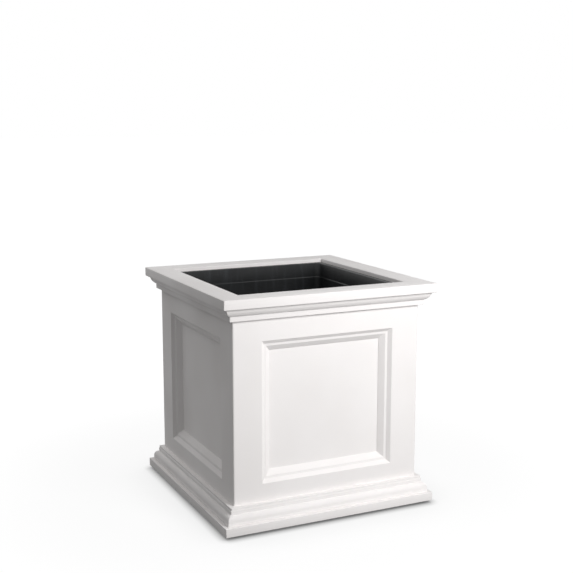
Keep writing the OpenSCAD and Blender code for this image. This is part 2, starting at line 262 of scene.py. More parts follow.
@dataclass(frozen=True)
class SatinPaint(Finish):
    """Satin white paint, sprayed on cellular PVC board.

    It gives the eye a soft, nearly neutral white with a broad sheen, a slight orange
    peel, and on the cap and the plinth the faint long grain pressed into the board, with
    painted shade in its grooves.
    """

    label: ClassVar[str] = "satin_paint_on_pvc_board"
    grain: Axis = Axis.Z
    pressed: bool = False
    colour: str = "#F2EFEE"
    thin: str = "#EAE6E4"
    roughness: Point = (0.5, 0.61)
    peel_mm: float = 2.4  # drawn twice as coarse as sprayed paint, to show at all
    peel_depth_mm: float = 0.012
    grain_length_mm: float = 90.0
    grain_width_mm: float = 3.2  # drawn coarser than the real 1.5 mm, to show at all
    grain_depth_mm: float = 0.07
    grain_share: float = 0.3  # how much darker the grooves are drawn: painted shade in the grain
    cloud_mm: float = 140.0

    @property
    def name(self) -> str:
        """The material's name, with the way that its grain is pressed."""
        pressing = f"pressed_{self.grain.name.lower()}" if self.pressed else "smooth"
        return f"{self.label}_{pressing}"

    def surface(self, tree: NodeTree, place: NodeSocket) -> Inputs:
        """Lays the clouding, the orange peel and the pressed grain.

        Args:
            tree: The material's tree.
            place: The place on the object, in metres.

        Returns:
            What goes into each input of the shader.
        """
        cloud = add_node(
            tree,
            "ShaderNodeTexNoise",
            {"Vector": place, "Scale": per_metre(self.cloud_mm), "Detail": 3.0},
        ).outputs["Fac"]
        peel = add_node(
            tree,
            "ShaderNodeTexNoise",
            {"Vector": place, "Scale": per_metre(self.peel_mm), "Detail": 1.0},
        ).outputs["Fac"]
        thinness_and_groove_shade = add_node(
            tree,
            "ShaderNodeMapRange",
            {"Value": cloud, "From Min": 0.42, "From Max": 0.72, "To Max": 0.35},
        ).outputs["Result"]
        bump = add_node(
            tree,
            "ShaderNodeBump",
            {"Height": peel, "Strength": 1.0, "Distance": self.peel_depth_mm * MM},
        ).outputs["Normal"]
        if self.pressed:
            grooves = self.grooves(tree, place)
            # The grooves are drawn darker as well as sunk: painted shade in them, added to
            # the random clouding of the paint.
            thinness_and_groove_shade = add_node(
                tree,
                "ShaderNodeMath",
                {0: grooves, 1: self.grain_share, 2: thinness_and_groove_shade},
                operation="MULTIPLY_ADD",
            ).outputs["Value"]
            relief = {"Height": grooves, "Strength": 1.0, "Normal": bump}
            relief["Distance"] = self.grain_depth_mm * MM
            bump = add_node(tree, "ShaderNodeBump", relief, invert=True).outputs["Normal"]
        colour = add_node(
            tree,
            "ShaderNodeMix",
            {0: thinness_and_groove_shade, 6: linear(self.colour), 7: linear(self.thin)},
            data_type="RGBA",
        ).outputs[2]
        low, high = self.roughness
        gloss = {"Value": cloud, "From Min": 0.3, "From Max": 0.7}
        roughness = add_node(
            tree, "ShaderNodeMapRange", {**gloss, "To Min": low, "To Max": high}
        ).outputs["Result"]
        return {
            "Base Color": colour,
            "Roughness": roughness,
            "IOR": 1.47,
            "Normal": bump,
        }

    def grooves(self, tree: NodeTree, place: NodeSocket) -> NodeSocket:
        """Draws the pressed grain: long fine dashes along the board.

        Args:
            tree: The material's tree.
            place: The place on the object, in metres.

        Returns:
            The grooves, 1 at the bottom of one and 0 on the flat.
        """
        scale = drawn_out(self.grain, self.grain_width_mm, self.grain_length_mm)
        stretched = add_node(
            tree, "ShaderNodeMapping", {"Vector": place, "Scale": scale}
        ).outputs["Vector"]
        fineness = {"Scale": 1.0, "Detail": 3.0, "Roughness": 0.6, "Distortion": 0.25}
        dashes = add_node(
            tree, "ShaderNodeTexNoise", {"Vector": stretched, **fineness}
        ).outputs["Fac"]
        return add_node(
            tree,
            "ShaderNodeMapRange",
            {"Value": dashes, "From Min": 0.46, "From Max": 0.68},
            interpolation_type="SMOOTHSTEP",
        ).outputs["Result"]


@dataclass(frozen=True)
class BareBoard(Finish):
    """Cellular PVC board left unpainted, planed on its faces and sawn at its ends.

    It gives the eye a dull, slightly greyer white than the paint, with faint planing
    lines along the board and a scatter of tiny open cells.
    """

    label: ClassVar[str] = "bare_pvc_board"
    grain: Axis = Axis.X
    colour: str = "#E3E2DE"
    worn: str = "#D2D0CA"
    roughness: float = 0.62
    line_mm: float = 2.0
    line_length_mm: float = 160.0
    cell_mm: float = 1.6  # drawn larger than the real 0.3 mm cells, to show at all
    cell_share: float = 0.35  # of the relief, against the lines
    relief_mm: float = 0.06
    scuff_mm: float = 71.4

    @property
    def name(self) -> str:
        """The material's name, with the way that the board runs."""
        return f"{self.label}_{self.grain.name.lower()}"

    def surface(self, tree: NodeTree, place: NodeSocket) -> Inputs:
        """Lays the planing lines, the open cells and the scuffs.

        Args:
            tree: The material's tree.
            place: The place on the object, in metres.

        Returns:
            What goes into each input of the shader.
        """
        scale = drawn_out(self.grain, self.line_mm, self.line_length_mm)
        stretched = add_node(
            tree, "ShaderNodeMapping", {"Vector": place, "Scale": scale}
        ).outputs["Vector"]
        lines = add_node(
            tree, "ShaderNodeTexNoise", {"Vector": stretched, "Scale": 1.0, "Detail": 2.0}
        ).outputs["Fac"]
        cells = add_node(
            tree,
            "ShaderNodeTexVoronoi",
            {"Vector": place, "Scale": per_metre(self.cell_mm)},
        ).outputs["Distance"]
        clouds = {"Scale": per_metre(self.scuff_mm), "Detail": 5.0, "Roughness": 0.62}
        scuffs = add_node(
            tree, "ShaderNodeTexNoise", {"Vector": place, **clouds}
        ).outputs["Fac"]
        wear = add_node(
            tree,
            "ShaderNodeMapRange",
            {"Value": scuffs, "From Min": 0.44, "From Max": 0.7, "To Max": 0.8},
        ).outputs["Result"]
        colour = add_node(
            tree,
            "ShaderNodeMix",
            {0: wear, 6: linear(self.colour), 7: linear(self.worn)},
            data_type="RGBA",
        ).outputs[2]
        height = add_node(
            tree,
            "ShaderNodeMath",
            {0: cells, 1: self.cell_share, 2: lines},
            operation="MULTIPLY_ADD",
        ).outputs["Value"]
        bump = add_node(
            tree,
            "ShaderNodeBump",
            {"Height": height, "Strength": 1.0, "Distance": self.relief_mm * MM},
        ).outputs["Normal"]
        return {"Base Color": colour, "Roughness": self.roughness, "Normal": bump}


@dataclass(frozen=True)
class MouldedPolypropylene(Finish):
    """Black polypropylene, injection moulded in a spark-eroded tool.

    It gives the eye a deep grey-black with a fine matt texture, a waxy sheen at low
    angles, faint flow marks and pale scuffs where pots have rubbed it.
    """

    label: ClassVar[str] = "moulded_black_polypropylene"
    colour: str = "#1B1C1D"
    scuffed: str = "#35373A"
    roughness: Point = (0.37, 0.54)
    texture_mm: float = 1.3  # drawn coarser than the real 0.2 mm, to show at all
    texture_depth_mm: float = 0.03
    flow_mm: float = 142.9
    scuff_width_mm: float = 16.67
    scuff_length_mm: float = 111.1

    def surface(self, tree: NodeTree, place: NodeSocket) -> Inputs:
        """Lays the texture, the flow marks and the upright scuffs.

        Args:
            tree: The material's tree.
            place: The place on the object, in metres.

        Returns:
            What goes into each input of the shader.
        """
        texture = add_node(
            tree,
            "ShaderNodeTexNoise",
            {"Vector": place, "Scale": per_metre(self.texture_mm), "Detail": 2.0},
        ).outputs["Fac"]
        marks = {"Scale": per_metre(self.flow_mm), "Detail": 4.0, "Distortion": 1.2}
        flow = add_node(
            tree, "ShaderNodeTexNoise", {"Vector": place, **marks}
        ).outputs["Fac"]
        scale = drawn_out(Axis.Z, self.scuff_width_mm, self.scuff_length_mm)
        upright = add_node(
            tree, "ShaderNodeMapping", {"Vector": place, "Scale": scale}
        ).outputs["Vector"]
        rubs = add_node(
            tree,
            "ShaderNodeTexNoise",
            {"Vector": upright, "Scale": 1.0, "Detail": 6.0, "Roughness": 0.7},
        ).outputs["Fac"]
        scuffs = add_node(
            tree,
            "ShaderNodeMapRange",
            {"Value": rubs, "From Min": 0.5, "From Max": 0.78, "To Max": 0.7},
        ).outputs["Result"]
        colour = add_node(
            tree,
            "ShaderNodeMix",
            {0: scuffs, 6: linear(self.colour), 7: linear(self.scuffed)},
            data_type="RGBA",
        ).outputs[2]
        low, high = self.roughness
        gloss = {"Value": flow, "From Min": 0.35, "From Max": 0.65}
        roughness = add_node(
            tree, "ShaderNodeMapRange", {**gloss, "To Min": low, "To Max": high}
        ).outputs["Result"]
        bump = add_node(
            tree,
            "ShaderNodeBump",
            {"Height": texture, "Strength": 1.0, "Distance": self.texture_depth_mm * MM},
        ).outputs["Normal"]
        return {
            "Base Color": colour,
            "Roughness": roughness,
            "IOR": 1.49,
            "Normal": bump,
        }


@dataclass(frozen=True)
class MouldedRubber(Finish):
    """Black rubber, compression moulded.

    It gives the eye a dead matt charcoal with a grey bloom and a fine tooth.
    """

    label: ClassVar[str] = "moulded_rubber"
    colour: str = "#1D1D1C"
    bloom: str = "#34332F"
    roughness: float = 0.82
    tooth_mm: float = 1.11  # drawn coarser than the real 0.1 mm, to show at all
    tooth_depth_mm: float = 0.05
    bloom_mm: float = 14.3

    def surface(self, tree: NodeTree, place: NodeSocket) -> Inputs:
        """Lays the bloom and the tooth.

        Args:
            tree: The material's tree.
            place: The place on the object, in metres.

        Returns:
            What goes into each input of the shader.
        """
        tooth, patches = (
            add_node(
                tree,
                "ShaderNodeTexNoise",
                {"Vector": place, "Scale": per_metre(size_mm), "Detail": detail},
            ).outputs["Fac"]
            for size_mm, detail in ((self.tooth_mm, 2.0), (self.bloom_mm, 4.0))
        )
        colour = add_node(
            tree,
            "ShaderNodeMix",
            {0: patches, 6: linear(self.colour), 7: linear(self.bloom)},
            data_type="RGBA",
        ).outputs[2]
        bump = add_node(
            tree,
            "ShaderNodeBump",
            {"Height": tooth, "Strength": 1.0, "Distance": self.tooth_depth_mm * MM},
        ).outputs["Normal"]
        return {
            "Base Color": colour,
            "Roughness": self.roughness,
            "IOR": 1.52,
            "Normal": bump,
        }


@dataclass(frozen=True)
class Beech(Finish):
    """Beech, turned to dowels and sawn to splines, without finish.

    It gives the eye a pinkish tan with short dark flecks and a faint long figure.
    """

    label: ClassVar[str] = "bare_beech"
    colour: str = "#CFA77B"
    late: str = "#B98D62"
    fleck: str = "#8F6642"
    roughness: float = 0.6
    fleck_width_mm: float = 2.0
    fleck_length_mm: float = 25.0
    figure_share: float = 0.6  # of the flecks' scale
    figure_depth_mm: float = 0.05

    def surface(self, tree: NodeTree, place: NodeSocket) -> Inputs:
        """Lays the figure and the flecks.

        Args:
            tree: The material's tree.
            place: The place on the object, in metres.

        Returns:
            What goes into each input of the shader.
        """
        scale = drawn_out(Axis.Z, self.fleck_width_mm, self.fleck_length_mm)
        along = add_node(
            tree, "ShaderNodeMapping", {"Vector": place, "Scale": scale}
        ).outputs["Vector"]
        figure = add_node(
            tree,
            "ShaderNodeTexNoise",
            {"Vector": along, "Scale": self.figure_share, "Detail": 4.0},
        ).outputs["Fac"]
        pores = add_node(
            tree, "ShaderNodeTexVoronoi", {"Vector": along, "Scale": 1.0}
        ).outputs["Distance"]
        nearness = {"Value": pores, "From Min": 0.1, "From Max": 0.3}
        colour = linear(self.colour)
        flecks = add_node(
            tree, "ShaderNodeMapRange", {**nearness, "To Min": 0.6, "To Max": 0.0}
        ).outputs["Result"]
        for share, over in ((figure, self.late), (flecks, self.fleck)):
            colour = add_node(
                tree,
                "ShaderNodeMix",
                {0: share, 6: colour, 7: linear(over)},
                data_type="RGBA",
            ).outputs[2]
        bump = add_node(
            tree,
            "ShaderNodeBump",
            {"Height": figure, "Strength": 1.0, "Distance": self.figure_depth_mm * MM},
        ).outputs["Normal"]
        return {"Base Color": colour, "Roughness": self.roughness, "Normal": bump}


@dataclass(frozen=True)
class ZincPlate(Finish):
    """Steel screws, bright zinc plated and passivated.

    It gives the eye a cool silver with cloudy yellowish patches and a soft gleam.
    """

    label: ClassVar[str] = "zinc_plated_steel"
    colour: str = "#C5C9CC"
    passivated: str = "#BDB59A"
    roughness: Point = (0.24, 0.42)
    patch_mm: float = 3.85

    def surface(self, tree: NodeTree, place: NodeSocket) -> Inputs:
        """Lays the cloudy patches.

        Args:
            tree: The material's tree.
            place: The place on the object, in metres.

        Returns:
            What goes into each input of the shader.
        """
        patches = add_node(
            tree,
            "ShaderNodeTexNoise",
            {"Vector": place, "Scale": per_metre(self.patch_mm), "Detail": 3.0},
        ).outputs["Fac"]
        tint = add_node(
            tree,
            "ShaderNodeMapRange",
            {"Value": patches, "From Min": 0.45, "From Max": 0.75, "To Max": 0.6},
        ).outputs["Result"]
        colour = add_node(
            tree,
            "ShaderNodeMix",
            {0: tint, 6: linear(self.colour), 7: linear(self.passivated)},
            data_type="RGBA",
        ).outputs[2]
        low, high = self.roughness
        gloss = {"Value": patches, "From Min": 0.3, "From Max": 0.7}
        roughness = add_node(
            tree, "ShaderNodeMapRange", {**gloss, "To Min": low, "To Max": high}
        ).outputs["Result"]
        return {"Base Color": colour, "Metallic": 1.0, "Roughness": roughness}


# ---- sections ----


@dataclass(frozen=True)
class Corner:
    """A corner of a section in millimetres, and the radius that eases it."""

    x: float
    y: float
    r: float = 0.0


def eased(corners: Sequence[Corner], steps: int = 5) -> list[Point]:
    """Rounds the corners of a closed section.

    Args:
        corners: The section's corners in order.
        steps: The number of facets in each rounded corner.

    Returns:
        The section's points in metres.
    """
    points: list[Point] = []
    for i, corner in enumerate(corners):
        here = Vector((corner.x, corner.y))
        if corner.r <= 0:
            points.append((here.x * MM, here.y * MM))
            continue
        before = corners[i - 1]
        after = corners[(i + 1) % len(corners)]
        back = (Vector((before.x, before.y)) - here).normalized()
        ahead = (Vector((after.x, after.y)) - here).normalized()
        half = back.angle(ahead) / 2
        middle = here + (back + ahead).normalized() * (corner.r / math.sin(half))
        first = here + back * (corner.r / math.tan(half)) - middle
        last = here + ahead * (corner.r / math.tan(half)) - middle
        turn = first.angle_signed(last)
        for step in range(steps + 1):
            at = middle + Matrix.Rotation(-turn * step / steps, 2) @ first
            points.append((at.x * MM, at.y * MM))
    return points


def arc(
    middle: Point, radius: float, start: float, end: float, steps: int
) -> list[Corner]:
    """Lays corners along an arc.

    Args:
        middle: The arc's centre in millimetres.
        radius: The arc's radius in millimetres.
        start: The angle in degrees at which it starts.
        end: The angle in degrees at which it ends.
        steps: The number of facets.

    Returns:
        The corners, both ends included.
    """
    angles = [math.radians(start + (end - start) * i / steps) for i in range(steps + 1)]
    return [
        Corner(middle[0] + radius * math.cos(a), middle[1] + radius * math.sin(a))
        for a in angles
    ]


# ---- Geometry Nodes ----


class GrowthTree:
    """A Geometry Nodes tree with named inputs, run on a mesh to grow another."""

    name: ClassVar[str] = ""
    sockets: ClassVar[dict[str, str]] = {}

    def __init__(self) -> None:
        """Builds the tree."""
        self.tree = bpy.data.node_groups.new(self.name, "GeometryNodeTree")
        for name, kind in {"Geometry": "NodeSocketGeometry", **self.sockets}.items():
            self.tree.interface.new_socket(name=name, in_out="INPUT", socket_type=kind)
        self.tree.interface.new_socket(
            name="Geometry", in_out="OUTPUT", socket_type="NodeSocketGeometry"
        )
        self.inputs = add_node(self.tree, "NodeGroupInput").outputs
        grown = self.build()
        real = add_node(self.tree, "GeometryNodeRealizeInstances", {0: grown})
        dressed = add_node(
            self.tree,
            "GeometryNodeSetMaterial",
            {"Geometry": real.outputs[0], "Material": self.inputs["Material"]},
        )
        add_node(self.tree, "NodeGroupOutput", {0: dressed.outputs[0]})

    def build(self) -> NodeSocket:
        """Lays the tree's own nodes and returns the geometry that they make."""
        raise NotImplementedError

    def grow(self, start: Mesh, **sizes: object) -> Mesh:
        """Runs the tree on a mesh.

        Args:
            start: The mesh that the tree starts from. It is used up.
            sizes: A value for each named input, with _ for a space.

        Returns:
            The plain mesh that the tree makes.
        """
        bench = bpy.data.objects.new("bench", start)
        bpy.context.scene.collection.objects.link(bench)
        modifier = bench.modifiers.new("grow", "NODES")
        modifier.node_group = self.tree
        keys = {
            item.name: item.identifier
            for item in self.tree.interface.items_tree
            if item.in_out == "INPUT"
        }
        for name, value in sizes.items():
            modifier[keys[name.replace("_", " ").capitalize()]] = value
        evaluated = bench.evaluated_get(bpy.context.evaluated_depsgraph_get())
        mesh = bpy.data.meshes.new_from_object(evaluated)
        bench.modifiers.remove(modifier)
        bpy.data.objects.remove(bench)
        bpy.data.meshes.remove(start)
        return mesh


class MitredRun(GrowthTree):
    """A section run in a straight line, mitred at both ends.

    The section lies along X of the seed, which points out of the box or in over the
    panel, and along minus Y, its height. Each point of it runs as far as Run plus
    Spread times its own distance, and the corners of the plan are eased.
    """

    name: ClassVar[str] = "mitred_run"
    sockets: ClassVar[dict[str, str]] = {
        "Run": "NodeSocketFloat",
        "Spread": "NodeSocketFloat",
        "Inner distance": "NodeSocketFloat",
        "Outer distance": "NodeSocketFloat",
        "Inner corner": "NodeSocketFloat",
        "Outer corner": "NodeSocketFloat",
        "Steps": "NodeSocketInt",
        "Material": "NodeSocketMaterial",
    }

    def build(self) -> NodeSocket:
        """Sweeps the section along a unit line and then spreads its ends.

        Returns:
            The run's geometry.
        """
        tree = self.tree
        known = {name: self.inputs[name] for name in self.sockets}
        self.reckon(known, ("count", "MULTIPLY_ADD", "Steps", 2.0, 2.0))
        section = add_node(
            tree, "GeometryNodeMeshToCurve", {0: self.inputs["Geometry"]}
        )
        line = add_node(
            tree,
            "GeometryNodeCurvePrimitiveLine",
            {"Start": (-1.0, 0.0, 0.0), "End": (1.0, 0.0, 0.0)},
        )
        path = add_node(
            tree,
            "GeometryNodeResampleCurve",
            {"Curve": line.outputs[0], "Count": known["count"]},
        )
        sweep = {"Curve": path.outputs[0], "Profile Curve": section.outputs[0]}
        swept = add_node(
            tree, "GeometryNodeCurveToMesh", {**sweep, "Fill Caps": True}
        )
        position = add_node(tree, "GeometryNodeInputPosition").outputs[0]
        place = add_node(tree, "ShaderNodeSeparateXYZ", {0: position}).outputs
        known.update(x=place["X"], y=place["Y"])
        self.reckon(
            known,
            ("distance", "MULTIPLY", "y", -1.0),
            ("along", "ABSOLUTE", "x"),
            ("intervals", "SUBTRACT", "count", 1.0),
            ("flat_share", "DIVIDE", 1.0, "intervals"),
        )
        corner = {
            "Value": known["distance"],
            "From Min": self.inputs["Inner distance"],
            "From Max": self.inputs["Outer distance"],
            "To Min": self.inputs["Inner corner"],
            "To Max": self.inputs["Outer corner"],
        }
        turn = {
            "Value": known["along"],
            "From Min": known["flat_share"],
            "From Max": 1.0,
            "To Min": 0.0,
            "To Max": math.pi / 4,
        }
        for name, limits in (("corner", corner), ("turn", turn)):
            known[name] = add_node(tree, "ShaderNodeMapRange", limits).outputs[0]
        self.reckon(
            known,
            ("reach", "MULTIPLY_ADD", "distance", "Spread", "Run"),
            ("sine", "SINE", "turn"),
            ("swing", "SUBTRACT", 1.0, "sine"),
            ("cosine", "COSINE", "turn"),
            ("lift", "SUBTRACT", 1.0, "cosine"),
            ("eased_off", "MULTIPLY", "corner", "swing"),
            ("length", "SUBTRACT", "reach", "eased_off"),
            ("hand", "SIGN", "x"),
            ("end", "MULTIPLY", "hand", "length"),
            ("drawn_in", "MULTIPLY", "corner", "lift"),
            ("out", "SUBTRACT", "distance", "drawn_in"),
            ("side", "MULTIPLY", "out", -1.0),
        )
        moved = add_node(
            tree,
            "ShaderNodeCombineXYZ",
            {"X": known["end"], "Y": known["side"], "Z": place["Z"]},
        )
        return add_node(
            tree,
            "GeometryNodeSetPosition",
            {"Geometry": swept.outputs[0], "Position": moved.outputs[0]},
        ).outputs[0]

    def reckon(self, known: dict[str, NodeSocket], *sums: tuple) -> None:
        """Lays sums in the tree, each on values that are known by then.

        Args:
            known: The values by name, which the results join.
            sums: The name, the operation and the terms of each. A term is a name or
                a number.
        """
        for name, operation, *terms in sums:
            inputs = {i: known.get(term, term) for i, term in enumerate(terms)}
            node = add_node(self.tree, "ShaderNodeMath", inputs, operation=operation)
            known[name] = node.outputs[0]


class SetOnPoints(GrowthTree):
    """Copies of one template, set on the seed's points and turned by attribute."""

    name: ClassVar[str] = "set_on_points"
    sockets: ClassVar[dict[str, str]] = {
        "Template": "NodeSocketObject",
        "Spin": "NodeSocketFloat",
        "Seed": "NodeSocketInt",
        "Material": "NodeSocketMaterial",
    }

    def build(self) -> NodeSocket:
        """Sets a template on each point, spun about its own axis by chance.

        Returns:
            The copies.
        """
        tree = self.tree
        template = add_node(
            tree, "GeometryNodeObjectInfo", {"Object": self.inputs["Template"]}
        )
        turn = add_node(
            tree,
            "GeometryNodeInputNamedAttribute",
            {"Name": "turn"},
            data_type="FLOAT_VECTOR",
        )
        facing = add_node(
            tree, "FunctionNodeEulerToRotation", {0: turn.outputs["Attribute"]}
        )
        chance = add_node(
            tree,
            "FunctionNodeRandomValue",
            {"Max": self.inputs["Spin"], "Seed": self.inputs["Seed"]},
            data_type="FLOAT",
        )
        spun = add_node(
            tree,
            "FunctionNodeAxisAngleToRotation",
            {"Axis": (0.0, 0.0, 1.0), "Angle": chance.outputs[1]},
        )
        turned = add_node(
            tree,
            "FunctionNodeRotateRotation",
            {0: facing.outputs[0], 1: spun.outputs[0]},
            rotation_space="LOCAL",
        )
        return add_node(
            tree,
            "GeometryNodeInstanceOnPoints",
            {
                "Points": self.inputs["Geometry"],
                "Instance": template.outputs["Geometry"],
                "Rotation": turned.outputs[0],
            },
        ).outputs[0]


# ---- making meshes and pieces ----


@dataclass(frozen=True)
class Seat:
    """A point in metres that a template is set on, and its turn in radians."""

    place: Triple
    turn: Triple = (0.0, 0.0, 0.0)


def section_mesh(points: Sequence[Point]) -> Mesh:
    """Makes the seed of a mitred run: a closed loop of edges.

    Args:
        points: Distance and height of each point, in metres.

    Returns:
        The mesh.
    """
    mesh = bpy.data.meshes.new("section")
    count = len(points)
    edges = [(i, (i + 1) % count) for i in range(count)]
    mesh.from_pydata([(x, -y, 0.0) for x, y in points], edges, [])
    return mesh


def seats_mesh(seats: Sequence[Seat]) -> Mesh:
    """Makes the seed of a set of copies: one vertex for each seat.

    Args:
        seats: Where the copies go.

    Returns:
        The mesh.
    """
    mesh = bpy.data.meshes.new("seats")
    mesh.from_pydata([seat.place for seat in seats], [], [])
    turns = mesh.attributes.new("turn", "FLOAT_VECTOR", "POINT")
    turns.data.foreach_set("vector", [a for seat in seats for a in seat.turn])
    return mesh


def lathe(section: Sequence[Point], segments: int) -> BMesh:
    """Turns a section about Z to a closed form.

    Args:
        section: Radius and height of each point in metres, from axis to axis.
        segments: The number of facets round the axis.

    Returns:
        The form.
    """
    form = bmesh.new()
    rings = []
    for radius, height in section:
        if radius < FLAT_DISTANCE:
            rings.append([form.verts.new((0.0, 0.0, height))] * segments)
            continue
        angles = [2 * math.pi * i / segments for i in range(segments)]
        around = [(radius * math.cos(a), radius * math.sin(a), height) for a in angles]
        rings.append([form.verts.new(place) for place in around])
    for low, high in zip(rings, rings[1:]):
        for i in range(segments):
            j = (i + 1) % segments
            corners = list(dict.fromkeys([low[i], low[j], high[j], high[i]]))
            if len(corners) > 2:
                form.faces.new(corners)
    return form


def bridge(form: BMesh, rings: Sequence[Ring]) -> None:
    """Joins rings of as many vertices by faces, each to the next.

    Args:
        form: The form that gets the faces.
        rings: The rings in order.
    """
    for low, high in zip(rings, rings[1:]):
        for i in range(len(low)):
            form.faces.new((low[i - 1], low[i], high[i], high[i - 1]))


def fill_between(form: BMesh, loops: Sequence[Ring]) -> None:
    """Fills a flat face that has holes in it.

    Args:
        form: The form that gets the faces.
        loops: The vertices round the face, and those round each hole.
    """
    sides = [(loop[i - 1], loop[i]) for loop in loops for i in range(len(loop))]
    edges = [form.edges.get(side) for side in sides]
    bmesh.ops.triangle_fill(form, edges=edges, use_beauty=True)


def finished_mesh(
    form: BMesh | Mesh,
    name: str,
    sharp_degrees: float = SHARP_DEGREES,
    turn: Matrix | None = None,
) -> Mesh:
    """Closes, turns outwards and smooths a form.

    Args:
        form: The form, which is used up.
        name: The mesh's name.
        sharp_degrees: Edges that bend more than this stay crisp.
        turn: Takes the form to its place.

    Returns:
        The mesh.
    """
    if isinstance(form, Mesh):
        mesh = form
        form = bmesh.new()
        form.from_mesh(mesh)
    else:
        mesh = bpy.data.meshes.new(name)
    bmesh.ops.remove_doubles(form, verts=form.verts, dist=MERGE_DISTANCE)
    bmesh.ops.dissolve_degenerate(form, edges=form.edges, dist=FLAT_DISTANCE)
    if turn is not None:
        form.transform(turn)
    bmesh.ops.recalc_face_normals(form, faces=form.faces)
    form.to_mesh(mesh)
    form.free()
    mesh.name = name
    mesh.shade_smooth()
    mesh.set_sharp_from_angle(angle=math.radians(sharp_degrees))
    return mesh


def add_piece(
    name: str,
    mesh: Mesh,
    material: Material,
    body: str,
    nodes: Sequence[str],
) -> Object:
    """Adds a finished piece in the place of the solids that it stands for.

    Args:
        name: The piece's name.
        mesh: Its mesh, in place.
        material: Its material.
        body: The body that it moves with.
        nodes: The nodes that it replaces.

    Returns:
        The piece.
    """
    mesh.materials.clear()
    mesh.materials.append(material)
    piece = bpy.data.objects.new(name, mesh)
    bpy.context.scene.collection.objects.link(piece)
    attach(piece, body)
    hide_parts(*nodes)
    return piece


def dress_node(node: Object, material: Material) -> None:
    """Gives a kept solid its material.

    Args:
        node: The solid's object.
        material: Its material.
    """
    if not node.material_slots:
        node.data.materials.append(material)
    for slot in node.material_slots:
        slot.material = material


@dataclass
class SubAssembly:
    """What every sub-assembly has: solids, trees, a body and the box's own sizes.

    The solids are what it dresses or replaces, the two trees grow its meshes, and the
    sizes are those that more than one sub-assembly keeps to (millimetres).
    """

    nodes: dict[str, Object]
    runs: MitredRun
    sets: SetOnPoints
    body: str = "box"
    half_outer: float = 254.0
    half_body: float = 224.0
    half_inner: float = 200.0
    half_open: float = 158.0
    open_low: float = 99.8
    open_height: float = 311.0
    plinth_in: float = 180.0
    plinth_low: float = 6.0
    slat_top: float = 42.8

    def build(self) -> list[str]:
        """Builds the sub-assembly and returns the names of its pieces."""
        raise NotImplementedError


@dataclass
class Walls(SubAssembly):
    """Posts, rails and panels, and the mitred moulding in each recess (millimetres)."""

    recess: float = 19.0
    moulding_width: float = 24.5
    outer_bevel: Point = (7.7, 7.4)
    bead: Point = (5.3, 0.6)
    bead_edge_r: float = 0.7
    panel_edge_r: float = 0.45
    edge_thickness: float = 1.0
    sharp_degrees: float = 12.0

    def build(self) -> list[str]:
        """Dresses the frame and builds the sixteen strips of panel moulding.

        Returns:
            The names of the pieces.
        """
        paint = SatinPaint()
        kinds = ("_post", "_rail", "_panel")
        frame = [name for name in self.nodes if name.endswith(kinds)]
        for name in frame:
            dress_node(self.nodes[name], paint.material())
        return frame + [self.strip(side, edge, paint) for side in Side for edge in Edge]

    def section(self) -> list[Point]:
        """Draws the moulding: in over the panel, and down into the recess.

        Returns:
            The section's points in metres.
        """
        bevel_x, bevel_y = self.outer_bevel
        bead_x, bead_y = self.bead
        edge_low = self.recess - self.edge_thickness
        return eased(
            [
                Corner(0, 0),
                Corner(bevel_x, bevel_y, self.bead_edge_r),
                Corner(bevel_x + bead_x, bevel_y + bead_y, self.bead_edge_r),
                Corner(self.moulding_width, edge_low, self.panel_edge_r),
                Corner(self.moulding_width, self.recess),
                Corner(0, self.recess),
            ]
        )

    def strip(self, side: Side, edge: Edge, paint: SatinPaint) -> str:
        """Builds one strip of panel moulding.

        Args:
            side: The side of the box.
            edge: The edge of the recess that the strip follows.
            paint: Its finish.

        Returns:
            The piece's name.
        """
        half_height = self.open_height / 2
        run, reach = self.half_open, half_height
        if not edge.is_level:
            run, reach = reach, run
        grown = self.runs.grow(
            section_mesh(self.section()),
            run=run * MM,
            spread=-1.0,
            inner_distance=0.0,
            outer_distance=1.0,
            inner_corner=0.0,
            outer_corner=0.0,
            steps=0,
            material=paint.material(),
        )
        middle = Vector((0, -self.half_body, self.open_low + half_height)) * MM
        turn = (
            side.turn
            @ Matrix.Translation(middle)
            @ Matrix.Rotation(math.radians(edge.value), 4, "Y")
            @ Matrix.Translation((0, 0, -reach * MM))
            @ Matrix.Rotation(math.radians(-90), 4, "X")
        )
        node = f"{side.label}_panel_moulding_{edge.label}"
        name = f"{node}_strip"
        mesh = finished_mesh(grown, name, self.sharp_degrees, turn)
        add_piece(name, mesh, paint.material(), self.body, [node])
        return name


@dataclass
class Run:
    """One mitred run round the box: its section, and how its plan corners are eased."""

    node: str
    section: list[Point]
    inner_corner: float
    outer_corner: float
    pressed: bool


